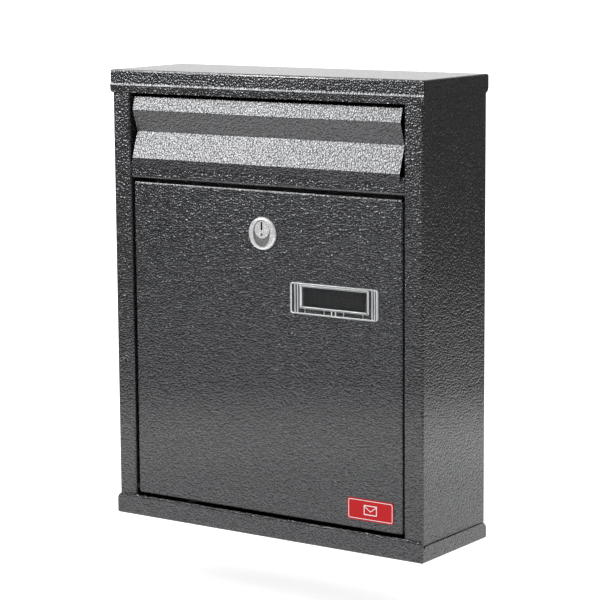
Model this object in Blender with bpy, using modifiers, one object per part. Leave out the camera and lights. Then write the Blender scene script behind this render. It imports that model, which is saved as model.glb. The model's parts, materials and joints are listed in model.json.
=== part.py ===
"""Wall mounted mailbox: folded steel casing, top mail flap, drop-down locking door.

Frame: origin at the centre of the flat back (wall) face, +X right, +Z up, the front looks along -Y.
Lengths are metres.
"""
import bpy
import bmesh
import numpy as np
from math import cos, pi, radians, sin
from mathutils import Matrix, Vector

# ---------------------------------------------------------------- driving dimensions
WIDTH = 0.260
DEPTH = 0.083
HEIGHT = 0.320
SHEET = 0.0007
PAN_SHEET = 0.0006
GAP = 0.0003

HALF_WIDTH = WIDTH / 2
TOP_Z = HEIGHT / 2
BASE_Z = -HEIGHT / 2
BEND_STEPS = 4
CORNER_STEPS = 5
HALF_SHEET = SHEET / 2
# how far a cutter passes the faces that it opens
OVERCUT = 0.002

# cap and tray: two pans of thinner sheet that fit over the casing's ends
LIP_WIDER = 0.0003
PAN_HALF = HALF_WIDTH - LIP_WIDER
PAN_BEND = 0.0011
PAN_REACH = PAN_BEND + PAN_SHEET / 2
CORNER_NOTCH = 0.0008
CAP_SIDE_FLANGE = 0.0126
CAP_CREASE = 0.0106
CAP_STEP = 0.0012
CAP_LIP = 0.0157
CAP_CORNER = 0.0040
CAP_LIP_CORNER = 0.0020
LIP_LEAN = 0.0004
TRAY_FRONT_FLANGE = 0.0146
TRAY_STEP = 0.0015
TRAY_SIDE_FLANGE = 0.0112
TRAY_CORNER = 0.0045
BACK_FLANGE = 0.0100
BACK_CORNER = 0.0030
BACK_FLANGE_INSET = 0.0040
LIP_PROUD = 0.0005
DRAIN_RADIUS = 0.0025
DRAIN_X = 0.080

# casing: back, two sides, two front posts with inward returns
CASING_HALF = PAN_HALF - PAN_SHEET - GAP
CASING_TOP = TOP_Z - 0.0016
CASING_BASE = BASE_Z + 0.0016
POST_FRONT = -(DEPTH - LIP_PROUD - PAN_SHEET - GAP)
OPENING_HALF = 0.1140
RETURN_DEPTH = 0.0120
BACK_BEND = 0.0024
FRONT_BEND = 0.0012
WALL_HOLE_RADIUS = 0.0025
WALL_HOLE_X = 0.090
WALL_HOLE_Z = 0.115

# flat plates of the cap and tray, between the starts of their bends
PLATE_BACK = -(SHEET + GAP + PAN_SHEET / 2 + PAN_BEND)
PLATE_BACK_REACH = -PLATE_BACK - GAP
PLATE_HALF = PAN_HALF - PAN_REACH
CAP_PLATE_FRONT = -(DEPTH - LIP_PROUD - PAN_REACH)
TRAY_PLATE_FRONT = -(DEPTH - PAN_REACH)

# cross rail between the mail slot and the door
RAIL_TOP = 0.0965
RAIL_BASE = 0.0842
RAIL_HALF = OPENING_HALF - GAP
RAIL_FRONT = POST_FRONT + 0.0012
RAIL_SHELF_BACK = -0.0715
RAIL_LIP_Y = -0.0668
RAIL_LIP_BASE = 0.0750

# mail flap, which swings out on a rod through the post returns
FLAP_HALF = 0.1112
ROD_RADIUS = 0.00125
ROD_HALF_LENGTH = 0.1195
CURL_RADIUS = ROD_RADIUS + GAP + HALF_SHEET
FLAP_EDGE = (POST_FRONT + 0.0028, 0.1415)
FLAP_PIVOT_Y = POST_FRONT + 0.0074
FLAP_PIVOT_Z = FLAP_EDGE[1] - CURL_RADIUS
FLAP_UPPER_RIDGE = (POST_FRONT + 0.0002, 0.1318)
FLAP_VALLEY = (POST_FRONT + 0.0052, 0.1169)
FLAP_LOWER_RIDGE = (POST_FRONT - 0.0009, 0.0984)
FLAP_FOLD = 0.0008
FLAP_LIP_BASE = 0.0918
FLAP_LIP_CORNER = 0.0034
FLAP_LIP_GAP = 1.5 * GAP
CURL_STEPS = 14
CLIP_RADIUS = 0.0036
CLIP_THICK = 0.0012

# door, which drops on two pins low in the opening
DOOR_HALF = 0.1123
DOOR_TOP = 0.0817
DOOR_BASE = -0.1436
DOOR_FACE = POST_FRONT + 0.0013
DOOR_FLANGE = 0.0120
DOOR_CORNER = 0.0020
DOOR_SIDE_NOTCH = 0.00085
DOOR_EDGE_NOTCH = 0.0004
DOOR_PIVOT_Y = DOOR_FACE + 0.0036
DOOR_PIVOT_Z = DOOR_BASE + 0.0042
PIN_RADIUS = 0.0015
PIN_END = OPENING_HALF + 0.0050
PIN_HEAD_RADIUS = 0.0023
PIN_HEAD_THICK = 0.0012

# cam lock; heights run forward from the door's face
LOCK_Z = 0.0520
PLUG_Z = LOCK_Z + 0.0027
LOCK_FACE_RADIUS = 0.0113
LOCK_FACE_HEIGHT = 0.0022
LOCK_BEVEL_RADIUS = 0.0098
LOCK_BEVEL_HEIGHT = 0.0008
LOCK_FLOOR_HEIGHT = 0.0010
LOCK_FLOOR_SIZE = (0.0071, 0.0092)
LOCK_BODY_RADIUS = 0.0095
LOCK_BODY_BACK = -0.0145
TURNED_CHAMFER = 0.0004
PLUG_RADIUS = 0.0061
PLUG_CLEARANCE = 0.0002
PLUG_FRONT = 0.0020
PLUG_BACK = -0.0149
STUB_OVERLAP = 0.001
KEYWAY_HALF = 0.00075
KEYWAY_SPAN = (-0.0003, 0.0054)
KEYWAY_BACK = -0.0114
DIMPLE_Z = -0.0033
DIMPLE_RADIUS = 0.0010
DIMPLE_DEPTH = 0.0006
CAM_REACH = 0.0300
CAM_HALF = 0.0050
CAM_HEEL_RADIUS = 0.0060
CAM_THICK = 0.0020
CAM_FRONT = PLUG_BACK - GAP
STUB_HALF = 0.0025
WASHER_RADIUS = 0.0042
WASHER_THICK = 0.0008
SCREW_RADIUS = 0.0015
SCREW_HEAD_RADIUS = 0.0030
SCREW_HEAD_THICK = 0.0020
SCREW_DEPTH = 0.0028
SCREW_EDGE = 0.0006
SCREW_SLOT_HALF = 0.0004
SCREW_SLOT_DEPTH = 0.0008
NUT_ACROSS_FLATS = 0.0240
NUT_THICK = 0.0030
WAFER_COUNT = 4
WAFER_FIRST = -0.0028
WAFER_PITCH = 0.0025
WAFER_THICK = 0.0008
WAFER_CLEARANCE = 0.0002
WAFER_HALF = 0.0024
WAFER_REACH = 0.0052
WAFER_LUG = 0.0038
WAFER_LUG_SPAN = (0.0012, 0.0026)
WAFER_WINDOW_HALF = 0.0011
WAFER_WINDOW_SPAN = (-0.0026, 0.0040)
WAFER_WINDOW_STEP = 0.0006
WAFER_SLOT_HALF = WAFER_HALF + GAP
POCKET_ACROSS = (0.0020, 0.0041)
POCKET_SPAN = (-0.0040, 0.0032)
SPRING_X = 0.0032
SPRING_SPAN = (-0.0037, 0.0009)
SPRING_RADIUS = 0.00038
SPRING_WIRE = 0.00010
SPRING_TURNS = 5
SPRING_POINTS_PER_TURN = 8

# name holder and label on the door
HOLDER_X = 0.0583
HOLDER_Z = 0.0100
HOLDER_SIZE = (0.0702, 0.0214)
HOLDER_CORNER = 0.0015
WINDOW_Z = 0.0113
WINDOW_SIZE = (0.0538, 0.0136)
HOLDER_PROUD = 0.0021
HOLDER_WALL = 0.0009
PANE_THICK = 0.0008
PANE_SUNK = 0.0004
CARD_THICK = 0.0005
CARD_SIDE_GAP = 0.0005
CARD_RAIL_DEPTH = 0.0022
CARD_LIP_THICK = 0.0008
CARD_LIP_HALF = 0.0008
HOLDER_OVERLAP = 0.0004
LABEL_X = 0.0868
LABEL_Z = -0.1298
LABEL_SIZE = (0.0370, 0.0150)
LABEL_CORNER = 0.0020
LABEL_THICK = 0.00025
LABEL_GAP = 0.0001

MODEL = "wall_mailbox"


# ---------------------------------------------------------------- scene helpers
def clear_scene():
    for obj in list(bpy.data.objects):
        bpy.data.objects.remove(obj)


def new_collection(name):
    coll = bpy.data.collections.new(name)
    bpy.context.scene.collection.children.link(coll)
    return coll


def new_material(name, colour, metallic, roughness, transmission=0.0):
    mat = bpy.data.materials.new(name)
    mat.use_nodes = True
    shader = mat.node_tree.nodes["Principled BSDF"]
    shader.inputs["Base Color"].default_value = (*colour, 1.0)
    shader.inputs["Metallic"].default_value = metallic
    shader.inputs["Roughness"].default_value = roughness
    shader.inputs["Transmission Weight"].default_value = transmission
    mat.diffuse_color = (*colour, 1.0)
    return mat


def add_object(name, mesh, mat, parent=None):
    obj = bpy.data.objects.new(name, mesh)
    parts.objects.link(obj)
    if mat is not None:
        obj.data.materials.append(mat)
    if parent is not None:
        obj.parent = parent
        obj.matrix_parent_inverse = Matrix.Translation(-parent.location)
    return obj


def joint_empty(name, location):
    empty = bpy.data.objects.new(name, None)
    parts.objects.link(empty)
    empty.location = location
    empty.empty_display_size = 0.01
    return empty


def mesh_from(bm, name):
    mesh = bpy.data.meshes.new(name)
    bmesh.ops.recalc_face_normals(bm, faces=bm.faces)
    bm.to_mesh(mesh)
    bm.free()
    return mesh


def smooth(obj, angle=30):
    obj.data.shade_smooth()
    obj.data.set_sharp_from_angle(angle=radians(angle))


def add_cutter(name, mesh):
    obj = bpy.data.objects.new(name, mesh)
    cutters.objects.link(obj)
    obj.hide_render = True
    obj.display_type = "WIRE"
    return obj


def boolean(obj, other, operation="DIFFERENCE"):
    mod = obj.modifiers.new(operation.lower(), "BOOLEAN")
    mod.object = other
    mod.operation = operation
    mod.solver = "EXACT"


# ---------------------------------------------------------------- shape helpers
def box_mesh(name, low, high):
    bm = bmesh.new()
    bmesh.ops.create_cube(bm, size=1.0)
    size = Vector(high) - Vector(low)
    bmesh.ops.scale(bm, vec=size, verts=bm.verts)
    bmesh.ops.translate(bm, vec=(Vector(high) + Vector(low)) / 2, verts=bm.verts)
    return mesh_from(bm, name)


def cylinder_mesh(name, radius, start, end, segments=32):
    """A closed cylinder between two points."""
    start, end = Vector(start), Vector(end)
    bm = bmesh.new()
    bmesh.ops.create_cone(bm, cap_ends=True, segments=segments, radius1=radius, radius2=radius,
                          depth=(end - start).length)
    turn = (end - start).to_track_quat("Z", "Y").to_matrix()
    bmesh.ops.rotate(bm, matrix=turn, verts=bm.verts)
    bmesh.ops.translate(bm, vec=(start + end) / 2, verts=bm.verts)
    return mesh_from(bm, name)


def arc_points(centre, radius, start, end, steps):
    """Points on an arc, angles in degrees."""
    angles = [radians(start + (end - start) * i / steps) for i in range(steps + 1)]
    return [(centre[0] + radius * cos(a), centre[1] + radius * sin(a)) for a in angles]


def bent_path(points, bend_radii):
    """A polyline whose inner corners are rounded by the given radii."""
    path = [Vector(points[0])]
    for before, corner, after, radius in zip(points, points[1:], points[2:], bend_radii):
        corner = Vector(corner)
        back = (Vector(before) - corner).normalized()
        ahead = (Vector(after) - corner).normalized()
        half = back.angle(ahead) / 2
        centre = corner + (back + ahead).normalized() * (radius / sin(half))
        first = corner + back * (radius / np.tan(half)) - centre
        last = corner + ahead * (radius / np.tan(half)) - centre
        for i in range(BEND_STEPS + 1):
            path.append(centre + first.slerp(last, i / BEND_STEPS) * radius)
    path.append(Vector(points[-1]))
    return path


def ruled_surface(bm, rows):
    """Quads between rows; each row is the pair of its end points."""
    pairs = [[bm.verts.new(point) for point in row] for row in rows]
    for (a, b), (c, d) in zip(pairs, pairs[1:]):
        bm.faces.new((a, b, d, c))


def sheet_object(name, bm, mat, parent=None, thickness=SHEET):
    bmesh.ops.remove_doubles(bm, verts=bm.verts, dist=0.000001)
    obj = add_object(name, mesh_from(bm, name), mat, parent)
    solid = obj.modifiers.new("thickness", "SOLIDIFY")
    solid.thickness = thickness
    solid.offset = 0.0
    solid.use_even_offset = True
    smooth(obj)
    return obj


def flange_rows(bend, height, corner, reach_low, reach_high, lean=((0, 0), (1, 0))):
    """A flange's rows as (outward, along the flange, end reaches).

    The bend comes first, then the straight part, and last the rounded lower corners.
    lean gives the outward offset at distances down the flange.
    """
    rows = []
    for i in range(1, BEND_STEPS + 1):
        angle = pi / 2 * i / BEND_STEPS
        rows.append((bend * sin(angle), bend * (1 - cos(angle)),
                     reach_low * sin(angle), reach_high * sin(angle)))
    depths, offsets = zip(*lean)
    for depth in depths:
        if bend < depth < height - corner:
            rows.append((bend + np.interp(depth, depths, offsets), depth, reach_low, reach_high))
    for i in range(CORNER_STEPS + 1):
        angle = pi / 2 * i / CORNER_STEPS
        depth = height - corner * (1 - sin(angle))
        pull = corner * (1 - cos(angle))
        rows.append((bend + np.interp(depth, depths, offsets), depth,
                     reach_low - pull, reach_high - pull))
    return rows


def folded_pan(low, high, flanges, place):
    """A flat plate with a flange on each of its four sides.

    low and high are the plate's corners where the bends start; place maps (u, v, down) to a point.
    flanges holds the rows of the low v, high v, low u and high u sides.
    """
    (u0, v0), (u1, v1) = low, high
    bm = bmesh.new()
    ruled_surface(bm, [(place(u0, v0, 0), place(u1, v0, 0)), (place(u0, v1, 0), place(u1, v1, 0))])
    sides = (
        (lambda out, down, a, b: (place(u0 - a, v0 - out, down), place(u1 + b, v0 - out, down))),
        (lambda out, down, a, b: (place(u0 - a, v1 + out, down), place(u1 + b, v1 + out, down))),
        (lambda out, down, a, b: (place(u0 - out, v0 - a, down), place(u0 - out, v1 + b, down))),
        (lambda out, down, a, b: (place(u1 + out, v0 - a, down), place(u1 + out, v1 + b, down))),
    )
    for side, rows in zip(sides, flanges):
        ruled_surface(bm, [side(*row) for row in [(0, 0, 0, 0)] + rows])
    return bm


def turned_profile(name, profile, steps=48):
    """An object that turns (radius, height) points about its local Z, top first."""
    bm = bmesh.new()
    verts = [bm.verts.new((radius, 0, height)) for radius, height in profile]
    for a, b in zip(verts, verts[1:]):
        bm.edges.new((a, b))
    bmesh.ops.remove_doubles(bm, verts=bm.verts, dist=0.000001)
    mesh = bpy.data.meshes.new(name)
    bm.to_mesh(mesh)
    bm.free()
    obj = bpy.data.objects.new(name + "_turned", mesh)
    screw = obj.modifiers.new("turn", "SCREW")
    screw.steps = steps
    screw.render_steps = steps
    screw.use_merge_vertices = True
    screw.merge_threshold = 0.00001
    return obj


def forward_place(x, z, height=0.0):
    """Local Z points out of the door, with its zero on the door's face."""
    return Matrix.Translation((x, DOOR_FACE - height, z)) @ Matrix.Rotation(pi / 2, 4, "X")


def turned_object(name, profile, matrix, mat, parent, steps=48):
    obj = turned_profile(name, profile, steps)
    obj.name = name
    parts.objects.link(obj)
    obj.data.materials.append(mat)
    obj.parent = parent
    obj.matrix_parent_inverse = Matrix.Translation(-parent.location)
    obj.matrix_basis = matrix
    smooth(obj)
    return obj


def outline_mesh(name, points, thickness):
    """A flat plate in local XY from an outline curve, welded into a closed mesh."""
    curve = bpy.data.curves.new(name, "CURVE")
    curve.dimensions = "2D"
    curve.fill_mode = "BOTH"
    curve.extrude = thickness / 2
    for loop in points:
        spline = curve.splines.new("POLY")
        spline.points.add(len(loop) - 1)
        for point, (x, y) in zip(spline.points, loop):
            point.co = (x, y, 0, 1)
        spline.use_cyclic_u = True
    obj = bpy.data.objects.new(name, curve)
    bpy.context.scene.collection.objects.link(obj)
    depsgraph = bpy.context.evaluated_depsgraph_get()
    mesh = bpy.data.meshes.new_from_object(obj.evaluated_get(depsgraph))
    bpy.data.objects.remove(obj)
    bm = bmesh.new()
    bm.from_mesh(mesh)
    bmesh.ops.remove_doubles(bm, verts=bm.verts, dist=0.000001)
    bmesh.ops.recalc_face_normals(bm, faces=bm.faces)
    bm.to_mesh(mesh)
    bm.free()
    return mesh


def rounded_rectangle(width, height, radius, steps=4):
    """Outline of a rectangle with round corners, centred on the origin."""
    points = []
    centres = ((1, 1, 0), (-1, 1, 90), (-1, -1, 180), (1, -1, 270))
    for sx, sy, start in centres:
        centre = (sx * (width / 2 - radius), sy * (height / 2 - radius))
        points += arc_points(centre, radius, start, start + 90, steps)
    return points


# ---------------------------------------------------------------- fixed parts
def make_casing():
    """One sheet wrapped round the back, sides and front posts."""
    front, back = POST_FRONT + HALF_SHEET, -HALF_SHEET
    side, inner = CASING_HALF - HALF_SHEET, OPENING_HALF + HALF_SHEET
    return_end = POST_FRONT + RETURN_DEPTH
    corners = [(-inner, return_end), (-inner, front), (-side, front), (-side, back),
               (side, back), (side, front), (inner, front), (inner, return_end)]
    radii = [FRONT_BEND, FRONT_BEND, BACK_BEND, BACK_BEND, FRONT_BEND, FRONT_BEND]
    bm = bmesh.new()
    rows = [((x, y, CASING_BASE), (x, y, CASING_TOP)) for x, y in bent_path(corners, radii)]
    ruled_surface(bm, rows)
    casing = sheet_object("casing", bm, paint)
    for sx in (-1, 1):
        for sz in (-1, 1):
            x, z = sx * WALL_HOLE_X, sz * WALL_HOLE_Z
            drill(casing, WALL_HOLE_RADIUS, (x, -SHEET - OVERCUT, z), (x, OVERCUT, z))
        start, end = sx * (OPENING_HALF - OVERCUT), sx * (OPENING_HALF + SHEET + OVERCUT)
        for y, z, radius in ((FLAP_PIVOT_Y, FLAP_PIVOT_Z, ROD_RADIUS + GAP),
                             (DOOR_PIVOT_Y, DOOR_PIVOT_Z, PIN_RADIUS + GAP)):
            drill(casing, radius, (start, y, z), (end, y, z))


def drill(obj, radius, start, end, segments=24):
    name = f"{obj.name}_drill_{len(cutters.objects)}"
    boolean(obj, add_cutter(name, cylinder_mesh(name, radius, start, end, segments)))


def pan_flanges(front, side_height, side_corner):
    """Rows for a cap or tray: front flange, back flange and two side flanges."""
    back = flange_rows(PAN_BEND, BACK_FLANGE, BACK_CORNER, -BACK_FLANGE_INSET, -BACK_FLANGE_INSET)
    side = flange_rows(PAN_BEND, side_height, side_corner, PAN_BEND - CORNER_NOTCH, PLATE_BACK_REACH)
    return front, back, side, side


def widened(rows, depth):
    """The same rows, LIP_WIDER longer at both ends beyond the given depth."""
    return [(out, down, low + LIP_WIDER, high + LIP_WIDER) if down > depth else (out, down, low, high)
            for out, down, low, high in rows]


def make_top_cap():
    """A pan turned upside down; below a crease its front flange steps out and leans in to the posts."""
    level = TOP_Z - PAN_SHEET / 2
    step_top = CAP_CREASE - CAP_STEP
    lean = ((0, 0), (step_top, 0), (CAP_CREASE, LIP_PROUD), (CAP_LIP, LIP_PROUD - LIP_LEAN))
    front = flange_rows(PAN_BEND, CAP_LIP, CAP_LIP_CORNER, PAN_REACH, PAN_REACH, lean)
    flanges = pan_flanges(widened(front, step_top), CAP_SIDE_FLANGE, CAP_CORNER)
    bm = folded_pan((-PLATE_HALF, CAP_PLATE_FRONT), (PLATE_HALF, PLATE_BACK), flanges,
                    lambda u, v, down: (u, v, level - down))
    sheet_object("top_cap", bm, paint, thickness=PAN_SHEET)


def make_bottom_tray():
    """The tray under the casing, with a front flange that leans in to the posts and two drain holes."""
    level = BASE_Z + PAN_SHEET / 2
    lean = ((0, 0), (TRAY_FRONT_FLANGE - TRAY_STEP, 0), (TRAY_FRONT_FLANGE, -LIP_PROUD))
    front = flange_rows(PAN_BEND, TRAY_FRONT_FLANGE, TRAY_CORNER, PAN_REACH, PAN_REACH, lean)
    flanges = pan_flanges(widened(front, 0), TRAY_SIDE_FLANGE, TRAY_CORNER)
    bm = folded_pan((-PLATE_HALF, TRAY_PLATE_FRONT), (PLATE_HALF, PLATE_BACK), flanges,
                    lambda u, v, down: (u, v, level + down))
    tray = sheet_object("bottom_tray", bm, paint, thickness=PAN_SHEET)
    for sx in (-1, 1):
        x, y = sx * DRAIN_X, -DEPTH / 2
        drill(tray, DRAIN_RADIUS, (x, y, BASE_Z - OVERCUT), (x, y, BASE_Z + PAN_SHEET + OVERCUT))


def make_cross_rail():
    """Rail under the mail slot: shelf, face, floor, and the lip the lock's cam catches."""
    front = RAIL_FRONT + HALF_SHEET
    corners = [(RAIL_SHELF_BACK, RAIL_TOP - HALF_SHEET), (front, RAIL_TOP - HALF_SHEET),
               (front, RAIL_BASE + HALF_SHEET), (RAIL_LIP_Y, RAIL_BASE + HALF_SHEET),
               (RAIL_LIP_Y, RAIL_LIP_BASE)]
    bm = bmesh.new()
    path = bent_path(corners, [FRONT_BEND] * 3)
    ruled_surface(bm, [((-RAIL_HALF, y, z), (RAIL_HALF, y, z)) for y, z in path])
    sheet_object("cross_rail", bm, paint)


def make_flap_rod():
    """The flap's hinge rod, held in both post returns by push-on clips."""
    mesh = cylinder_mesh("flap_rod", ROD_RADIUS, (-ROD_HALF_LENGTH, FLAP_PIVOT_Y, FLAP_PIVOT_Z),
                         (ROD_HALF_LENGTH, FLAP_PIVOT_Y, FLAP_PIVOT_Z), 24)
    smooth(add_object("flap_rod", mesh, steel))
    for side, sx in (("left", -1), ("right", 1)):
        inner = OPENING_HALF + SHEET + 2 * GAP
        start = (sx * inner, FLAP_PIVOT_Y, FLAP_PIVOT_Z)
        end = (sx * (inner + CLIP_THICK), FLAP_PIVOT_Y, FLAP_PIVOT_Z)
        name = f"rod_clip_{side}"
        clip = add_object(name, cylinder_mesh(name, CLIP_RADIUS, start, end, 24), steel)
        smooth(clip)
        out = (sx * (inner + CLIP_THICK + OVERCUT), FLAP_PIVOT_Y, FLAP_PIVOT_Z)
        back = (sx * (inner - OVERCUT), FLAP_PIVOT_Y, FLAP_PIVOT_Z)
        drill(clip, ROD_RADIUS + GAP / 2, back, out)


def make_hinge_pins():
    """Two headed pins through the door's side flanges and the post returns."""
    head_outer = DOOR_HALF - SHEET - GAP
    head_inner = head_outer - PIN_HEAD_THICK
    for side, sx in (("left", -1), ("right", 1)):
        name = f"hinge_pin_{side}"
        axis = (DOOR_PIVOT_Y, DOOR_PIVOT_Z)
        shank = cylinder_mesh(name, PIN_RADIUS, (sx * (head_outer - PIN_HEAD_THICK / 2), *axis),
                              (sx * PIN_END, *axis), 24)
        pin = add_object(name, shank, steel)
        head = cylinder_mesh(name + "_head", PIN_HEAD_RADIUS, (sx * head_inner, *axis),
                             (sx * head_outer, *axis), 24)
        boolean(pin, add_cutter(name + "_head", head), "UNION")
        smooth(pin)


# ---------------------------------------------------------------- mail flap
def make_mail_flap():
    """One zigzag sheet; its top edge turns back to the rod and curls round it."""
    parent = joint_empty("flap_hinge", (0, FLAP_PIVOT_Y, FLAP_PIVOT_Z))
    curl = arc_points((FLAP_PIVOT_Y, FLAP_PIVOT_Z), CURL_RADIUS, -150, 90, CURL_STEPS)
    folds = [(y + HALF_SHEET, z) for y, z in (FLAP_EDGE, FLAP_UPPER_RIDGE, FLAP_VALLEY, FLAP_LOWER_RIDGE)]
    lip_y = RAIL_FRONT - FLAP_LIP_GAP - HALF_SHEET
    path = bent_path([curl[-1], *folds, (lip_y, FLAP_LIP_BASE)], [FLAP_FOLD] * len(folds))
    path.pop()
    rows = [(y, z, FLAP_HALF) for y, z in curl[:-1]]
    rows += [(y, z, FLAP_HALF) for y, z in path]
    last = path[-1]
    for i in range(CORNER_STEPS + 1):
        angle = pi / 2 * i / CORNER_STEPS
        z = FLAP_LIP_BASE + FLAP_LIP_CORNER * (1 - sin(angle))
        share = (last.y - z) / (last.y - FLAP_LIP_BASE)
        y = last.x + (lip_y - last.x) * share
        rows.append((y, z, FLAP_HALF - FLAP_LIP_CORNER * (1 - cos(angle))))
    bm = bmesh.new()
    ruled_surface(bm, [((-half, y, z), (half, y, z)) for y, z, half in rows])
    sheet_object("mail_flap", bm, paint, parent)


# ---------------------------------------------------------------- door
def make_door():
    """The door pan, with holes for the lock, the name holder and its two pins."""
    parent = joint_empty("door_hinge", (0, DOOR_PIVOT_Y, DOOR_PIVOT_Z))
    level = DOOR_FACE + HALF_SHEET
    bend = FRONT_BEND
    half = DOOR_HALF - HALF_SHEET - bend
    low = (-half, DOOR_BASE + HALF_SHEET + bend)
    high = (half, DOOR_TOP - HALF_SHEET - bend)
    reach = DOOR_FLANGE - HALF_SHEET
    side = flange_rows(bend, reach, DOOR_CORNER, bend - DOOR_SIDE_NOTCH, bend - DOOR_SIDE_NOTCH)
    edge = flange_rows(bend, reach, DOOR_CORNER, bend - DOOR_EDGE_NOTCH, bend - DOOR_EDGE_NOTCH)
    bm = folded_pan(low, high, (edge, edge, side, side), lambda u, v, down: (u, level + down, v))
    door = sheet_object("door_panel", bm, paint, parent)
    front, back = DOOR_FACE - OVERCUT, DOOR_FACE + SHEET + OVERCUT
    drill(door, LOCK_BODY_RADIUS + GAP, (0, front, LOCK_Z), (0, back, LOCK_Z), 48)
    half_x = WINDOW_SIZE[0] / 2 + HOLDER_WALL + 2 * GAP
    half_z = WINDOW_SIZE[1] / 2 + HOLDER_WALL + 2 * GAP
    window = box_mesh("door_window", (HOLDER_X - half_x, front, WINDOW_Z - half_z),
                      (HOLDER_X + half_x, back, WINDOW_Z + half_z))
    boolean(door, add_cutter("door_window", window))
    for sx in (-1, 1):
        start, end = sx * (DOOR_HALF - SHEET - OVERCUT), sx * (DOOR_HALF + OVERCUT)
        drill(door, PIN_RADIUS + GAP, (start, DOOR_PIVOT_Y, DOOR_PIVOT_Z), (end, DOOR_PIVOT_Y, DOOR_PIVOT_Z))
    make_lock_housing(parent)
    make_lock_nut(parent)
    make_name_holder(parent)
    make_name_card(parent)
    make_label(parent)
    return parent


def make_lock_housing(parent):
    """Chromed housing: a bevelled round face with an oval sunk floor, and a body through the door."""
    profile = [(0, LOCK_FACE_HEIGHT), (LOCK_BEVEL_RADIUS, LOCK_FACE_HEIGHT)]
    drop = LOCK_FACE_HEIGHT - LOCK_BEVEL_HEIGHT
    width = LOCK_FACE_RADIUS - LOCK_BEVEL_RADIUS
    profile += [(LOCK_BEVEL_RADIUS + width * sin(a), LOCK_FACE_HEIGHT - drop * (1 - cos(a)))
                for a in (radians(30), radians(60), radians(90))]
    profile += [(LOCK_FACE_RADIUS, GAP), (LOCK_BODY_RADIUS, GAP),
                (LOCK_BODY_RADIUS, LOCK_BODY_BACK + TURNED_CHAMFER),
                (LOCK_BODY_RADIUS - TURNED_CHAMFER, LOCK_BODY_BACK), (0, LOCK_BODY_BACK)]
    housing = turned_object("lock_housing", profile, forward_place(0, LOCK_Z), chrome, parent, 64)
    front = DOOR_FACE - LOCK_FACE_HEIGHT - OVERCUT
    floor = cylinder_mesh("housing_floor", 1.0, (0, front, 0), (0, DOOR_FACE - LOCK_FLOOR_HEIGHT, 0), 64)
    across, high = LOCK_FLOOR_SIZE
    floor.transform(Matrix.Translation((0, 0, LOCK_Z)) @ Matrix.Diagonal((across, 1.0, high, 1.0)))
    boolean(housing, add_cutter("housing_floor", floor))
    bore = cylinder_mesh("housing_bore", PLUG_RADIUS + PLUG_CLEARANCE, (0, front, PLUG_Z),
                         (0, DOOR_FACE - LOCK_BODY_BACK + OVERCUT, PLUG_Z), 64)
    boolean(housing, add_cutter("housing_bore", bore))


def make_lock_nut(parent):
    """Hexagon nut that clamps the housing to the door."""
    radius = NUT_ACROSS_FLATS / 2 / cos(radians(30))
    front = DOOR_FACE + SHEET + GAP
    mesh = cylinder_mesh("lock_nut", radius, (0, front, LOCK_Z), (0, front + NUT_THICK, LOCK_Z), 6)
    nut = add_object("lock_nut", mesh, steel, parent)
    drill(nut, LOCK_BODY_RADIUS + GAP, (0, front - OVERCUT, LOCK_Z),
          (0, front + NUT_THICK + OVERCUT, LOCK_Z), 48)


def make_name_holder(parent):
    """Clear frame on the door, a sunk window through it, and rails behind for the card."""
    y_front = DOOR_FACE - HOLDER_PROUD
    thickness = HOLDER_PROUD - GAP
    mesh = outline_mesh("name_holder", [rounded_rectangle(*HOLDER_SIZE, HOLDER_CORNER)], thickness)
    mesh.transform(Matrix.Translation((HOLDER_X, y_front + thickness / 2, HOLDER_Z))
                   @ Matrix.Rotation(pi / 2, 4, "X"))
    holder = add_object("name_holder", mesh, clear, parent)
    half_x, half_z = WINDOW_SIZE[0] / 2, WINDOW_SIZE[1] / 2
    pane_front = DOOR_FACE + PANE_SUNK
    pane_back = pane_front + PANE_THICK
    rail_back = pane_back + CARD_RAIL_DEPTH
    tub = box_mesh("holder_tub",
                   (HOLDER_X - half_x - HOLDER_WALL, DOOR_FACE - HOLDER_PROUD / 2,
                    WINDOW_Z - half_z - HOLDER_WALL),
                   (HOLDER_X + half_x + HOLDER_WALL, pane_back, WINDOW_Z + half_z + HOLDER_WALL))
    boolean(holder, add_cutter("holder_tub", tub), "UNION")
    for name, sz in (("upper", 1), ("lower", -1)):
        wall = WINDOW_Z + sz * (half_z + HOLDER_WALL / 2)
        rail = box_mesh(f"holder_rail_{name}",
                        (HOLDER_X - half_x, pane_back - HOLDER_OVERLAP, wall - HOLDER_WALL / 2),
                        (HOLDER_X + half_x, rail_back, wall + HOLDER_WALL / 2))
        boolean(holder, add_cutter(f"holder_rail_{name}", rail), "UNION")
        inner = WINDOW_Z + sz * (half_z - HOLDER_OVERLAP)
        lip = box_mesh(f"holder_lip_{name}",
                       (HOLDER_X - half_x, rail_back - CARD_LIP_THICK, inner - CARD_LIP_HALF),
                       (HOLDER_X + half_x, rail_back, inner + CARD_LIP_HALF))
        boolean(holder, add_cutter(f"holder_lip_{name}", lip), "UNION")
    sunk = box_mesh("holder_window", (HOLDER_X - half_x, y_front - OVERCUT, WINDOW_Z - half_z),
                    (HOLDER_X + half_x, pane_front, WINDOW_Z + half_z))
    boolean(holder, add_cutter("holder_window", sunk))


def make_name_card(parent):
    """Blank dark card behind the window."""
    front = DOOR_FACE + PANE_SUNK + PANE_THICK + GAP
    half_x = WINDOW_SIZE[0] / 2 - CARD_SIDE_GAP
    half_z = WINDOW_SIZE[1] / 2 - GAP
    mesh = box_mesh("name_card", (HOLDER_X - half_x, front, WINDOW_Z - half_z),
                    (HOLDER_X + half_x, front + CARD_THICK, WINDOW_Z + half_z))
    add_object("name_card", mesh, card, parent)


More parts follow.
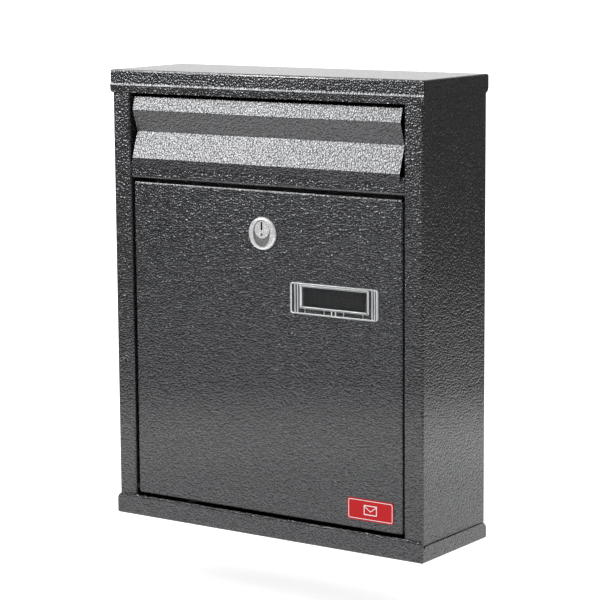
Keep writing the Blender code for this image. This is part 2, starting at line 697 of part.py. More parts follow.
def make_label(parent):
    """Plain adhesive label low on the door."""
    mesh = outline_mesh("door_label", [rounded_rectangle(*LABEL_SIZE, LABEL_CORNER)], LABEL_THICK)
    mesh.transform(Matrix.Translation((LABEL_X, DOOR_FACE - LABEL_GAP - LABEL_THICK / 2, LABEL_Z))
                   @ Matrix.Rotation(pi / 2, 4, "X"))
    add_object("door_label", mesh, label, parent)


# ---------------------------------------------------------------- lock cylinder
def make_lock_cylinder():
    """Everything that turns with the key; the cam points along +X when unlocked."""
    parent = joint_empty("lock_turn", (0, DOOR_FACE, PLUG_Z))
    make_plug(parent)
    for index in range(WAFER_COUNT):
        make_wafer(index, parent)
        make_wafer_spring(index, parent)
    make_cam(parent)
    make_cam_fixings(parent)


def make_cam_fixings(parent):
    """Washer and slotted screw that hold the cam on the plug."""
    front = CAM_FRONT - CAM_THICK - GAP
    back = front - WASHER_THICK
    hole = SCREW_RADIUS + GAP
    profile = [(hole, front), (WASHER_RADIUS, front), (WASHER_RADIUS, back), (hole, back), (hole, front)]
    turned_object("cam_washer", profile, forward_place(0, PLUG_Z), steel, parent, 32)
    head = back - GAP
    tip = PLUG_BACK + SCREW_DEPTH
    end = head - SCREW_HEAD_THICK
    profile = [(0, tip), (SCREW_RADIUS, tip), (SCREW_RADIUS, head), (SCREW_HEAD_RADIUS, head),
               (SCREW_HEAD_RADIUS, end + SCREW_EDGE), (SCREW_HEAD_RADIUS - SCREW_EDGE, end), (0, end)]
    screw = turned_object("cam_screw", profile, forward_place(0, PLUG_Z), steel, parent, 32)
    across = SCREW_HEAD_RADIUS + OVERCUT
    slot = lock_box("screw_slot", (-across, across), (-SCREW_SLOT_HALF, SCREW_SLOT_HALF),
                    (end - OVERCUT, end + SCREW_SLOT_DEPTH))
    boolean(screw, add_cutter("screw_slot", slot))


def lock_box(name, x, z, height):
    """A box given by its ranges across, up from the plug's axis, and forward of the door's face."""
    low = (x[0], DOOR_FACE - height[1], PLUG_Z + z[0])
    high = (x[1], DOOR_FACE - height[0], PLUG_Z + z[1])
    return box_mesh(name, low, high)


def wafer_height(index):
    return WAFER_FIRST - index * WAFER_PITCH


def make_plug(parent):
    """The plug: keyway, dimple, wafer slots, spring pockets, square stub and screw hole."""
    profile = [(0, PLUG_FRONT), (PLUG_RADIUS - TURNED_CHAMFER, PLUG_FRONT),
               (PLUG_RADIUS, PLUG_FRONT - TURNED_CHAMFER), (PLUG_RADIUS, PLUG_BACK), (0, PLUG_BACK)]
    plug = turned_object("lock_plug", profile, forward_place(0, PLUG_Z), chrome, parent, 64)
    stub = lock_box("plug_stub", (-STUB_HALF, STUB_HALF), (-STUB_HALF, STUB_HALF),
                    (CAM_FRONT - CAM_THICK + GAP, PLUG_BACK + STUB_OVERLAP))
    boolean(plug, add_cutter("plug_stub", stub), "UNION")
    keyway = lock_box("plug_keyway", (-KEYWAY_HALF, KEYWAY_HALF), KEYWAY_SPAN,
                      (KEYWAY_BACK, PLUG_FRONT + OVERCUT))
    boolean(plug, add_cutter("plug_keyway", keyway))
    face = DOOR_FACE - PLUG_FRONT
    drill(plug, DIMPLE_RADIUS, (0, face - OVERCUT, PLUG_Z + DIMPLE_Z),
          (0, face + DIMPLE_DEPTH, PLUG_Z + DIMPLE_Z))
    half_slot = WAFER_THICK / 2 + WAFER_CLEARANCE
    reach = PLUG_RADIUS + OVERCUT
    for index in range(WAFER_COUNT):
        height = wafer_height(index)
        span = (height - half_slot, height + half_slot)
        slot = lock_box(f"wafer_slot_{index}", (-WAFER_SLOT_HALF, WAFER_SLOT_HALF), (-reach, reach), span)
        boolean(plug, add_cutter(f"wafer_slot_{index}", slot))
        pocket = lock_box(f"spring_pocket_{index}", POCKET_ACROSS, POCKET_SPAN, span)
        boolean(plug, add_cutter(f"spring_pocket_{index}", pocket))
    drill(plug, SCREW_RADIUS + GAP, (0, DOOR_FACE - PLUG_BACK - SCREW_DEPTH - GAP, PLUG_Z),
          (0, DOOR_FACE - CAM_FRONT + CAM_THICK + OVERCUT, PLUG_Z))


def make_wafer(index, parent):
    """A flat wafer with a window for the key and a lug for its spring."""
    name = f"lock_wafer_{index + 1}"
    low, high = WAFER_LUG_SPAN
    outer = [(-WAFER_HALF, -WAFER_REACH), (WAFER_HALF, -WAFER_REACH), (WAFER_HALF, low), (WAFER_LUG, low),
             (WAFER_LUG, high), (WAFER_HALF, high), (WAFER_HALF, WAFER_REACH), (-WAFER_HALF, WAFER_REACH)]
    base, top = WAFER_WINDOW_SPAN
    base += WAFER_WINDOW_STEP * (index % 2)
    half = WAFER_WINDOW_HALF
    mesh = outline_mesh(name, [outer, [(-half, base), (half, base), (half, top), (-half, top)]], WAFER_THICK)
    mesh.transform(forward_place(0, PLUG_Z, wafer_height(index)))
    add_object(name, mesh, brass, parent)


def make_wafer_spring(index, parent):
    """The small coil spring under a wafer's lug."""
    name = f"wafer_spring_{index + 1}"
    low, high = SPRING_SPAN
    curve = bpy.data.curves.new(name, "CURVE")
    curve.dimensions = "3D"
    curve.bevel_depth = SPRING_WIRE
    curve.bevel_resolution = 1
    curve.use_fill_caps = True
    spline = curve.splines.new("POLY")
    count = SPRING_TURNS * SPRING_POINTS_PER_TURN + 1
    spline.points.add(count - 1)
    for i, point in enumerate(spline.points):
        angle = 2 * pi * i / SPRING_POINTS_PER_TURN
        z = low + (high - low) * i / (count - 1)
        point.co = (SPRING_X + SPRING_RADIUS * cos(angle),
                    DOOR_FACE - wafer_height(index) + SPRING_RADIUS * sin(angle), PLUG_Z + z, 1)
    add_object(name, curve, steel, parent)


def make_cam(parent):
    """The locking bar on the plug's square stub."""
    tip = arc_points((CAM_REACH - CAM_HALF, 0), CAM_HALF, -90, 90, 12)
    heel = arc_points((0, 0), CAM_HEEL_RADIUS, 90, 270, 16)
    hole = STUB_HALF + GAP
    square = [(-hole, -hole), (hole, -hole), (hole, hole), (-hole, hole)]
    mesh = outline_mesh("lock_cam", [tip + heel, square], CAM_THICK)
    mesh.transform(forward_place(0, PLUG_Z, CAM_FRONT - CAM_THICK / 2))
    add_object("lock_cam", mesh, steel, parent)


# ---------------------------------------------------------------- build
clear_scene()
parts = new_collection(MODEL)
cutters = new_collection("cutters")
paint = new_material("hammertone_paint", (0.075, 0.075, 0.078), 0.35, 0.32)
brass = new_material("brass", (0.72, 0.56, 0.28), 1.0, 0.35)
steel = new_material("zinc_steel", (0.60, 0.60, 0.58), 1.0, 0.35)
chrome = new_material("chrome", (0.80, 0.80, 0.82), 1.0, 0.08)
clear = new_material("clear_plastic", (0.92, 0.94, 0.95), 0.0, 0.06, 0.9)
card = new_material("dark_card", (0.02, 0.02, 0.02), 0.0, 0.55)
label = new_material("red_label", (0.45, 0.02, 0.03), 0.0, 0.35)
make_casing()
make_top_cap()
make_bottom_tray()
make_cross_rail()
make_flap_rod()
make_hinge_pins()
make_mail_flap()
make_door()
make_lock_cylinder()
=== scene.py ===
import json
from math import cos, radians, sin

import bmesh
import bpy
from mathutils import Matrix, Vector


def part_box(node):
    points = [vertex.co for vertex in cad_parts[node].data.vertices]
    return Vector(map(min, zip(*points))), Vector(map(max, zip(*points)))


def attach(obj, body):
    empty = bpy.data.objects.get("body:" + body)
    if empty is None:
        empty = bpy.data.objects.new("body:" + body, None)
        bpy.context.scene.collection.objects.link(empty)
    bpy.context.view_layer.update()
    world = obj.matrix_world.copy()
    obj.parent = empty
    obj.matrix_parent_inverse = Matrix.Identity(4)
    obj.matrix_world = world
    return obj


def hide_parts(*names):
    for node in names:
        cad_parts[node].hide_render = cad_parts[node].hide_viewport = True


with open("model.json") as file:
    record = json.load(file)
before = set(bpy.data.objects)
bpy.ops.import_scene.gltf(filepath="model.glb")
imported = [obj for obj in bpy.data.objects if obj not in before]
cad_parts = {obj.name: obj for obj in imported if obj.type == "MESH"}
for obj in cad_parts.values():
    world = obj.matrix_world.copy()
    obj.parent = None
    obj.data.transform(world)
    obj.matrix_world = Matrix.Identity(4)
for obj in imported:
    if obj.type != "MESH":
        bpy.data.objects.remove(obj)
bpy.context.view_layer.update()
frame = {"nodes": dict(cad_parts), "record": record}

# ---------------------------------------------------------------- driving values, in metres and degrees
CAMERA_AZIMUTH = 34.95
CAMERA_ELEVATION = 8.97
CAMERA_ROLL = -0.403
CAMERA_DISTANCE = 1.6236
CAMERA_LENS_MM = 139.9
CAMERA_SENSOR_MM = 36.0
CAMERA_TARGET = Vector((0.0034, -0.042, 0.0013))

# the box hangs on a wall, so the floor is low enough for the open door to clear it
FLOOR_DROP = 0.045
FLOOR_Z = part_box("bottom_tray")[0][2] - FLOOR_DROP
FLOOR_RADIUS = 7.0
# distances from the box where the floor's painted brightness in the gloss starts and stops changing, and its
# brightness there
FLOOR_NEAR_START, FLOOR_NEAR_END, FLOOR_NEAR_LEVEL = 0.40, 0.55, 0.65
FLOOR_FAR_START, FLOOR_FAR_END, FLOOR_FAR_LEVEL = 0.60, 0.88, 0.05
# painted light: how strongly the floor glows in the gloss and to the camera, where the glow washes out its
# shadow
FLOOR_GLOW_IN_GLOSS = 0.60
FLOOR_GLOW_TO_CAMERA = 0.45

# brightness of the world to the camera and matt surfaces, and its least brightness to the gloss
WORLD_WHITE = 1.32
WORLD_DIM = 0.08
# azimuth, elevation, inner and outer angle of each pale area that the gloss sees, and its brightness
WORLD_LOBES = (
    (214, 6, 20, 45, 0.9),
    (0, 90, 25, 60, 0.9),
)
# name, azimuth, lowest and highest point above the box's middle, distance, width and watts
LIGHTS = (
    ("softbox_front_left", -44, 0.32, 0.85, 0.85, 0.60, 8.6),
    ("sparkle_light", -33, 0.31, 0.41, 1.0, 0.10, 1.1),
)

# the lacquer: pebbles under a fine orange peel, and the noise that bends the pebbles' edges
PEBBLES_PER_M = 640.0
PEBBLE_SPREAD = 0.85
PEBBLE_HEIGHT = 0.00047
PEBBLE_SHARE, PEEL_SHARE = 0.90, 0.10
PEEL_PER_M = 1200.0
WARP_PER_M = 420.0
WARP_LENGTH = 0.0008
PAINT_DARK = (0.053, 0.054, 0.057)
PAINT_PALE = (0.114, 0.115, 0.119)

# the lock's face: inside its rim, painted shade darkens it between these depths, up to the back of the
# housing
LOCK_LOW, LOCK_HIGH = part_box("lock_housing")
LOCK_FRONT, LOCK_BACK = LOCK_LOW[1], LOCK_HIGH[1]
LOCK_AXIS_Z = (LOCK_LOW[2] + LOCK_HIGH[2]) / 2
LOCK_RIM_RADIUS = 0.0096
LOCK_SHADE_START, LOCK_SHADE_FULL, LOCK_SHADE_END = 0.0004, 0.0009, 0.0010
LOCK_MOTTLE_DEPTH = 0.00005
LOCK_DARK = (0.50, 0.50, 0.51)
LOCK_PALE = (0.90, 0.90, 0.91)

# bare and plated metal, clear plastic, card and printed film
TOOL_MARKS_PER_M = 600.0
TOOL_MARK_DEPTH = 0.000015
STYRENE_RIPPLE_DEPTH = 0.00004
STYRENE_IOR = 1.46
# facing values below which the styrene is white, partly frost and partly painted highlight, and above which
# it is clear
STYRENE_FROST_AND_GLINT_BELOW, STYRENE_CLEAR_ABOVE = 0.90, 0.99
CARD_FIBRE_DEPTH = 0.00002
CARD_DARK = (0.012, 0.012, 0.013)
CARD_PALE = (0.022, 0.022, 0.023)
FILM_RIPPLE_DEPTH = 0.00001


# ---------------------------------------------------------------- shader helpers
class Shader:
    """Builds one node material; every texture reads the piece's own Object coordinates."""

    def __init__(self, name):
        self.mat = bpy.data.materials.new(name)
        self.mat.use_nodes = True
        self.tree = self.mat.node_tree
        self.bsdf = self.tree.nodes["Principled BSDF"]
        self.coords = self.tree.nodes.new("ShaderNodeTexCoord").outputs["Object"]

    def set(self, **values):
        for name, value in values.items():
            self.bsdf.inputs[name.replace("_", " ")].default_value = value

    def link(self, source, target):
        self.tree.links.new(source, target)

    def feed(self, socket, value):
        """Links another node's output to the socket, or sets a constant on it."""
        if isinstance(value, bpy.types.NodeSocket):
            self.link(value, socket)
        else:
            socket.default_value = value

    def node(self, kind, settings=(), **inputs):
        made = self.tree.nodes.new(kind)
        for name, value in dict(settings).items():
            setattr(made, name, value)
        for name, value in inputs.items():
            self.feed(made.inputs[name.replace("_", " ")], value)
        return made

    def noise(self, scale, detail=2.0, roughness=0.5):
        made = self.node("ShaderNodeTexNoise", Scale=scale, Detail=detail, Roughness=roughness,
                         Vector=self.coords)
        return made.outputs["Fac"]

    def math(self, operation, a, b=0.0):
        made = self.tree.nodes.new("ShaderNodeMath")
        made.operation = operation
        for socket, value in zip(made.inputs, (a, b)):
            self.feed(socket, value)
        return made.outputs["Value"]

    def span(self, value, low, high, to_low=0.0, to_high=1.0):
        made = self.node("ShaderNodeMapRange", Value=value, From_Min=low, From_Max=high, To_Min=to_low,
                         To_Max=to_high)
        return made.outputs["Result"]

    def blend(self, factor, low, high):
        """Colour between low and high, each a colour or another node's output."""
        made = self.tree.nodes.new("ShaderNodeMix")
        made.data_type = "RGBA"
        self.link(factor, made.inputs["Factor"])
        colours = [s for s in made.inputs if s.type == "RGBA"]
        for socket, value in zip(colours, (low, high)):
            is_socket = isinstance(value, bpy.types.NodeSocket)
            self.feed(socket, value if is_socket else (*value, 1.0))
        return [s for s in made.outputs if s.type == "RGBA"][0]

    def bump(self, height, distance):
        made = self.node("ShaderNodeBump", Strength=1.0, Distance=distance, Height=height)
        self.link(made.outputs["Normal"], self.bsdf.inputs["Normal"])


def hammertone(name):
    """Dark grey hammertone lacquer: domed pebbles about 2 mm across with fine orange peel on top."""
    s = Shader(name)
    warp = s.node("ShaderNodeTexNoise", Scale=WARP_PER_M, Detail=1.0, Vector=s.coords).outputs["Color"]
    shift = s.node("ShaderNodeVectorMath", {"operation": "SCALE"})
    s.link(warp, shift.inputs[0])
    shift.inputs["Scale"].default_value = WARP_LENGTH
    moved = s.node("ShaderNodeVectorMath", {"operation": "ADD"})
    s.link(s.coords, moved.inputs[0])
    s.link(shift.outputs[0], moved.inputs[1])
    cells = s.node("ShaderNodeTexVoronoi", {"feature": "F1"}, Scale=PEBBLES_PER_M,
                   Randomness=PEBBLE_SPREAD, Vector=moved.outputs[0]).outputs["Distance"]
    domes = s.math("SUBTRACT", 1.0, s.math("POWER", cells, 2.0))
    peel = s.noise(PEEL_PER_M, 1.0, 0.5)
    height = s.math("ADD", s.math("MULTIPLY", domes, PEBBLE_SHARE), s.math("MULTIPLY", peel, PEEL_SHARE))
    s.bump(height, PEBBLE_HEIGHT)
    tone = s.span(s.noise(850.0, 2.0, 0.6), 0.38, 0.62)
    s.link(s.blend(tone, PAINT_DARK, PAINT_PALE), s.bsdf.inputs["Base Color"])
    s.link(s.span(s.noise(700.0, 2.0), 0.35, 0.65, 0.15, 0.24), s.bsdf.inputs["Roughness"])
    s.set(Metallic=0.84, Coat_Weight=0.50, Coat_Roughness=0.05)
    return s.mat


def lock_plate(name, sunk_shade_dark, sunk_shade_light):
    """Bright plated die casting: pale, slightly rough and mottled, with painted shade where it is set back
    inside the rim.
    """
    s = Shader(name)
    mottle = s.noise(1500.0, 3.0, 0.65)
    s.bump(s.math("ADD", mottle, s.noise(420.0, 1.0)), LOCK_MOTTLE_DEPTH)
    tint = s.blend(s.span(mottle, 0.36, 0.62), LOCK_DARK, LOCK_PALE)
    # painted shade: the colours for the recessed parts inside the rim
    sunk_shade = s.blend(s.span(mottle, 0.40, 0.60), sunk_shade_dark, sunk_shade_light)
    place = s.node("ShaderNodeSeparateXYZ", Vector=s.coords).outputs
    up = s.math("SUBTRACT", place["Z"], LOCK_AXIS_Z)
    across = s.math("MULTIPLY", place["X"], place["X"])
    radius = s.math("SQRT", s.math("ADD", across, s.math("MULTIPLY", up, up)))
    within = s.math("LESS_THAN", radius, LOCK_RIM_RADIUS)
    # painted shade mask: recessed depths inside the rim get the dark colours
    start = s.span(place["Y"], LOCK_FRONT + LOCK_SHADE_START, LOCK_FRONT + LOCK_SHADE_FULL)
    end = s.span(place["Y"], LOCK_BACK - LOCK_SHADE_END, LOCK_BACK, 1.0, 0.0)
    factor = s.math("MULTIPLY", within, s.math("MULTIPLY", start, end))
    s.link(s.blend(factor, tint, sunk_shade), s.bsdf.inputs["Base Color"])
    s.link(s.span(mottle, 0.3, 0.7, 0.14, 0.32), s.bsdf.inputs["Roughness"])
    s.set(Metallic=0.38)
    return s.mat


def plated(name, colour, roughness):
    """Plated or bare metal with faint tool marks."""
    s = Shader(name)
    marks = s.noise(TOOL_MARKS_PER_M, 3.0, 0.6)
    s.bump(marks, TOOL_MARK_DEPTH)
    tint = s.blend(s.span(s.noise(180.0, 2.0), 0.35, 0.65), [c * 0.9 for c in colour], colour)
    s.link(tint, s.bsdf.inputs["Base Color"])
    s.link(s.span(marks, 0.3, 0.7, roughness * 0.8, roughness * 1.25), s.bsdf.inputs["Roughness"])
    s.set(Metallic=1.0)
    return s.mat


def clear_plastic(name):
    """Clear styrene: see-through on its flat faces; its edges and walls turn opaque white, partly frosted
    moulding and partly painted highlight of the light they gather.
    """
    s = Shader(name)
    s.bump(s.noise(90.0, 2.0), STYRENE_RIPPLE_DEPTH)
    s.link(s.span(s.noise(400.0), 0.3, 0.7, 0.05, 0.14), s.bsdf.inputs["Roughness"])
    normal = s.tree.nodes["Texture Coordinate"].outputs["Normal"]
    facing = s.math("ABSOLUTE", s.node("ShaderNodeSeparateXYZ", Vector=normal).outputs["Y"])
    # painted highlight and frost: faces that do not face front or back turn opaque white
    clear = s.span(facing, STYRENE_FROST_AND_GLINT_BELOW, STYRENE_CLEAR_ABOVE)
    s.link(clear, s.bsdf.inputs["Transmission Weight"])
    s.set(Base_Color=(0.97, 0.98, 0.99, 1.0), IOR=STYRENE_IOR)
    return s.mat


def card_stock(name):
    """Matt black card with faint fibres."""
    s = Shader(name)
    fibres = s.noise(2200.0, 4.0, 0.7)
    s.bump(fibres, CARD_FIBRE_DEPTH)
    s.link(s.blend(fibres, CARD_DARK, CARD_PALE), s.bsdf.inputs["Base Color"])
    s.set(Roughness=0.45)
    return s.mat


def label_film(name, dark, pale):
    """Satin printed film with a faint grain between two tones."""
    s = Shader(name)
    s.bump(s.noise(500.0), FILM_RIPPLE_DEPTH)
    s.link(s.blend(s.noise(3000.0), dark, pale), s.bsdf.inputs["Base Color"])
    s.set(Roughness=0.40, Specular_IOR_Level=0.2)
    return s.mat


# ---------------------------------------------------------------- materials on the CAD nodes
LOOKS = {
    "hammertone_paint": hammertone("hammertone_lacquer"),
    "zinc_steel": plated("zinc_plate", (0.60, 0.61, 0.60), 0.32),
    # the chrome look carries painted shade in the lock's recesses
    "chrome": lock_plate("chrome_plate_painted_shade", (0.10, 0.10, 0.10), (0.40, 0.40, 0.40)),
    "brass": plated("brass_sheet", (0.72, 0.55, 0.26), 0.30),
    "clear_plastic": clear_plastic("clear_styrene"),
    "dark_card": card_stock("black_card"),
    "red_label": label_film("red_film", (0.40, 0.004, 0.007), (0.50, 0.010, 0.013)),
}


WHITE_PRINT = label_film("white_print", (0.72, 0.71, 0.70), (0.82, 0.81, 0.80))
# the plug's look paints its keyway near black, as painted shade
LOCK_PLUG_SHADED_LOOK = lock_plate("chrome_plug_painted_shade", (0.004, 0.004, 0.004), (0.012, 0.012, 0.012))


def dress_nodes():
    """Gives every CAD node the look of its slot; the plug has its own, with near-black painted shade in its
    keyway.
    """
    slots = {row["node"]: row["material_slot"] for row in frame["record"]["subparts"]}
    for name, obj in frame["nodes"].items():
        obj.data.materials.clear()
        obj.data.materials.append(LOCK_PLUG_SHADED_LOOK if name == "lock_plug" else LOOKS[slots[name]])


# ---------------------------------------------------------------- detailed pieces
DOOR_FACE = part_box("door_panel")[0][1]
HOLDER_LOW, HOLDER_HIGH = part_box("name_holder")
CARD_LOW, CARD_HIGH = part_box("name_card")
LABEL_LOW, LABEL_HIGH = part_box("door_label")
# edges sharper than this many radians are bevelled, and faces within this many degrees are shaded as one
SHARP_EDGE_ANGLE = 0.5
SMOOTH_ANGLE = 35

# how far the name holder's parts stand off the door's face; SKIN keeps it inside the CAD node's box
HOLDER_SKIN = 0.00005
HOLDER_GAP = 0.0003
HOLDER_BASE = 0.0009
HOLDER_FLOOR = HOLDER_BASE - 0.0001
FRAME_FOOT = -0.0012
FRAME_SETBACK = 0.0002
TICK_SETBACK = 0.0003
RIB_SETBACK = 0.0005
PANE_BACK, PANE_FRONT = -0.0011, -0.0004
# widths, corner radii and bevels of the holder's rim, the frame round its window, its ribs and its ticks
RIM_WIDTH, RIM_CORNER, RIM_INNER_CORNER = 0.0010, 0.0016, 0.0008
FRAME_WIDTH, FRAME_CORNER = 0.0012, 0.0006
WINDOW_CLEARANCE, WINDOW_CORNER = 0.0003, 0.0003
MOULDED_BEVEL, RIB_BEVEL, TICK_BEVEL = 0.0004, 0.0003, 0.0001
# the ribs' left edges from the holder's two ends, and their widths
LEFT_RIBS, LEFT_RIB_WIDTH = (0.0030, 0.0052), 0.0009
RIGHT_RIBS, RIGHT_RIB_WIDTH = (0.0048, 0.0029), 0.0008
# four low ticks below the window, at odd multiples of the pitch, and two tall ones about its middle
LOW_TICK_PITCH, LOW_TICK_HALF, LOW_TICK_HEIGHT = 0.0078, 0.0002, 0.0005
TALL_TICK_OFFSET, TALL_TICK_HALF = 0.0016, 0.0003

# the print on the label: how deep it sits in the film and stands off it, its border and its envelope
PRINT_SUNK, PRINT_PROUD = 0.00001, 0.00005
BORDER_OUTER, BORDER_OUTER_CORNER = 0.0009, 0.0013
BORDER_INNER, BORDER_INNER_CORNER = 0.0013, 0.0010
ENVELOPE_HALF_WIDTH, ENVELOPE_HALF_HEIGHT = 0.0052, 0.0034
ENVELOPE_LINE = 0.0006
ENVELOPE_FOLD = 0.0006


class Solid:
    """Collects closed, bevelled bodies, given across, up and forward of the door's face."""

    def __init__(self):
        self.bm = bmesh.new()

    def add(self, made, bevel):
        """Bevels the sharp edges of a body and joins it to the rest."""
        if bevel:
            edges = [e for e in made.edges
                     if e.is_manifold and e.calc_face_angle() > SHARP_EDGE_ANGLE]
            bmesh.ops.bevel(made, geom=edges, offset=bevel, segments=2, profile=0.5, affect="EDGES",
                            clamp_overlap=True)
        mesh = bpy.data.meshes.new("part")
        made.to_mesh(mesh)
        made.free()
        self.bm.from_mesh(mesh)
        bpy.data.meshes.remove(mesh)

    def block(self, x, z, out, bevel):
        """A bevelled block between two values across, up and forward."""
        made = bmesh.new()
        bmesh.ops.create_cube(made, size=1.0)
        for v in made.verts:
            v.co = Vector((
                x[0] if v.co.x < 0 else x[1],
                DOOR_FACE - (out[0] if v.co.y > 0 else out[1]),
                z[0] if v.co.z < 0 else z[1]))
        self.add(made, bevel)

    def ring(self, outer, inner, out, bevel):
        """A closed frame between two outlines, each a list of (across, up) points."""
        made = bmesh.new()
        loops = []
        for forward in out:
            for outline in (outer, inner):
                loops.append([made.verts.new((x, DOOR_FACE - forward, z)) for x, z in outline])
        back_outer, back_inner, front_outer, front_inner = loops
        for first, second in ((back_outer, front_outer), (front_outer, front_inner),
                              (front_inner, back_inner), (back_inner, back_outer)):
            for i in range(len(first)):
                j = (i + 1) % len(first)
                made.faces.new((first[i], first[j], second[j], second[i]))
        bmesh.ops.recalc_face_normals(made, faces=made.faces)
        self.add(made, bevel)

    def plate(self, outline, out):
        """A flat plate with the given outline and plain edges."""
        made = bmesh.new()
        back = [made.verts.new((x, DOOR_FACE - out[0], z)) for x, z in outline]
        front = [made.verts.new((x, DOOR_FACE - out[1], z)) for x, z in outline]
        made.faces.new(back)
        made.faces.new(front)
        for i in range(len(outline)):
            j = (i + 1) % len(outline)
            made.faces.new((back[i], back[j], front[j], front[i]))
        bmesh.ops.recalc_face_normals(made, faces=made.faces)
        self.add(made, 0)

    def finish(self, name, material):
        """The collected bodies as one object."""
        mesh = bpy.data.meshes.new(name)
        self.bm.to_mesh(mesh)
        self.bm.free()
        obj = bpy.data.objects.new(name, mesh)
        bpy.context.scene.collection.objects.link(obj)
        mesh.materials.append(material)
        mesh.shade_smooth()
        mesh.set_sharp_from_angle(angle=radians(SMOOTH_ANGLE))
        return obj


def rounded(low, high, radius, steps=5):
    """Outline of a rectangle with round corners."""
    points = []
    corners = (((high[0] - radius, high[1] - radius), 0), ((low[0] + radius, high[1] - radius), 90),
               ((low[0] + radius, low[1] + radius), 180), ((high[0] - radius, low[1] + radius), 270))
    for (x, z), start in corners:
        for i in range(steps + 1):
            a = radians(start + 90 * i / steps)
            points.append((x + radius * cos(a), z + radius * sin(a)))
    return points


def grown(low, high, by):
    """Corners of a rectangle that is larger on every side, or smaller if by is negative."""
    return (low[0] - by, low[1] - by), (high[0] + by, high[1] + by)


def make_name_holder():
    """Clear moulding: a rim, a channel with ribs, an inner frame round the window, and the pane."""
    low = (HOLDER_LOW[0] + HOLDER_SKIN, HOLDER_LOW[2] + HOLDER_SKIN)
    high = (HOLDER_HIGH[0] - HOLDER_SKIN, HOLDER_HIGH[2] - HOLDER_SKIN)
    proud = DOOR_FACE - HOLDER_LOW[1] - HOLDER_SKIN
    card_low, card_high = (CARD_LOW[0], CARD_LOW[2]), (CARD_HIGH[0], CARD_HIGH[2])
    window = grown(card_low, card_high, WINDOW_CLEARANCE)
    frame_outer = grown(*window, FRAME_WIDTH)
    inside = grown(low, high, -RIM_WIDTH)
    rim, frame_line = rounded(low, high, RIM_CORNER), rounded(*frame_outer, FRAME_CORNER)
    window_line = rounded(*window, WINDOW_CORNER)
    solid = Solid()
    solid.ring(rim, frame_line, (HOLDER_GAP, HOLDER_BASE), 0)
    solid.ring(rim, rounded(*inside, RIM_INNER_CORNER), (HOLDER_BASE, proud), MOULDED_BEVEL)
    solid.ring(frame_line, window_line, (FRAME_FOOT, proud - FRAME_SETBACK), MOULDED_BEVEL)
    channel = (inside[0][1], inside[1][1])
    ribs = [(low[0] + x, LEFT_RIB_WIDTH) for x in LEFT_RIBS]
    ribs += [(high[0] - x, RIGHT_RIB_WIDTH) for x in RIGHT_RIBS]
    for x, width in ribs:
        solid.block((x, x + width), channel, (HOLDER_FLOOR, proud - RIB_SETBACK), RIB_BEVEL)
    middle = (window[0][0] + window[1][0]) / 2
    below = (inside[0][1], frame_outer[0][1])
    for step in (-3, -1, 1, 3):
        x = middle + step * LOW_TICK_PITCH
        solid.block((x - LOW_TICK_HALF, x + LOW_TICK_HALF), below,
                    (HOLDER_FLOOR, HOLDER_FLOOR + LOW_TICK_HEIGHT), 0)
    for sign in (-1, 1):
        x = middle + sign * TALL_TICK_OFFSET
        solid.block((x - TALL_TICK_HALF, x + TALL_TICK_HALF), below,
                    (HOLDER_FLOOR, proud - TICK_SETBACK), TICK_BEVEL)
    solid.plate(window_line, (PANE_BACK, PANE_FRONT))
    holder = solid.finish("clear_name_holder", LOOKS["clear_plastic"])
    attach(holder, "door")
    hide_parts("name_holder")


def make_label_print():
    """Generic print on the red label: a thin white border and a plain envelope, without lettering."""
    film = DOOR_FACE - LABEL_LOW[1]
    low, high = (LABEL_LOW[0], LABEL_LOW[2]), (LABEL_HIGH[0], LABEL_HIGH[2])
    out = (film - PRINT_SUNK, film + PRINT_PROUD)
    solid = Solid()
    outer, inner = grown(low, high, -BORDER_OUTER), grown(low, high, -BORDER_INNER)
    solid.ring(rounded(*outer, BORDER_OUTER_CORNER), rounded(*inner, BORDER_INNER_CORNER), out, 0)
    middle, level = (low[0] + high[0]) / 2, (low[1] + high[1]) / 2
    left, right = middle - ENVELOPE_HALF_WIDTH, middle + ENVELOPE_HALF_WIDTH
    base, top = level - ENVELOPE_HALF_HEIGHT, level + ENVELOPE_HALF_HEIGHT
    line = ENVELOPE_LINE
    solid.ring([(left, base), (right, base), (right, top), (left, top)],
               [(left + line, base + line), (right - line, base + line), (right - line, top - line),
                (left + line, top - line)], out, 0)
    fold = level - ENVELOPE_FOLD
    solid.plate([(left + line, top - line), (left + line, top - 2 * line), (middle, fold - line),
                 (right - line, top - 2 * line), (right - line, top - line), (middle, fold)], out)
    printed = solid.finish("label_envelope_print", WHITE_PRINT)
    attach(printed, "door")


# ---------------------------------------------------------------- studio
def direction(azimuth, elevation):
    """Unit vector from the object; azimuth 0 is in front of the door and 90 is its right side."""
    a, e = radians(azimuth), radians(elevation)
    return Vector((sin(a) * cos(e), -cos(a) * cos(e), sin(e)))


def make_camera():
    """A long lens, placed by the camera values above."""
    back = direction(CAMERA_AZIMUTH, CAMERA_ELEVATION)
    data = bpy.data.cameras.new("camera")
    data.lens = CAMERA_LENS_MM
    data.sensor_width = CAMERA_SENSOR_MM
    camera = bpy.data.objects.new("camera", data)
    bpy.context.collection.objects.link(camera)
    camera.location = CAMERA_TARGET + back * CAMERA_DISTANCE
    aim = back.to_track_quat("Z", "Y")
    roll = Matrix.Rotation(radians(CAMERA_ROLL), 4, "Z")
    camera.matrix_world = Matrix.Translation(camera.location) @ aim.to_matrix().to_4x4() @ roll
    bpy.context.scene.camera = camera


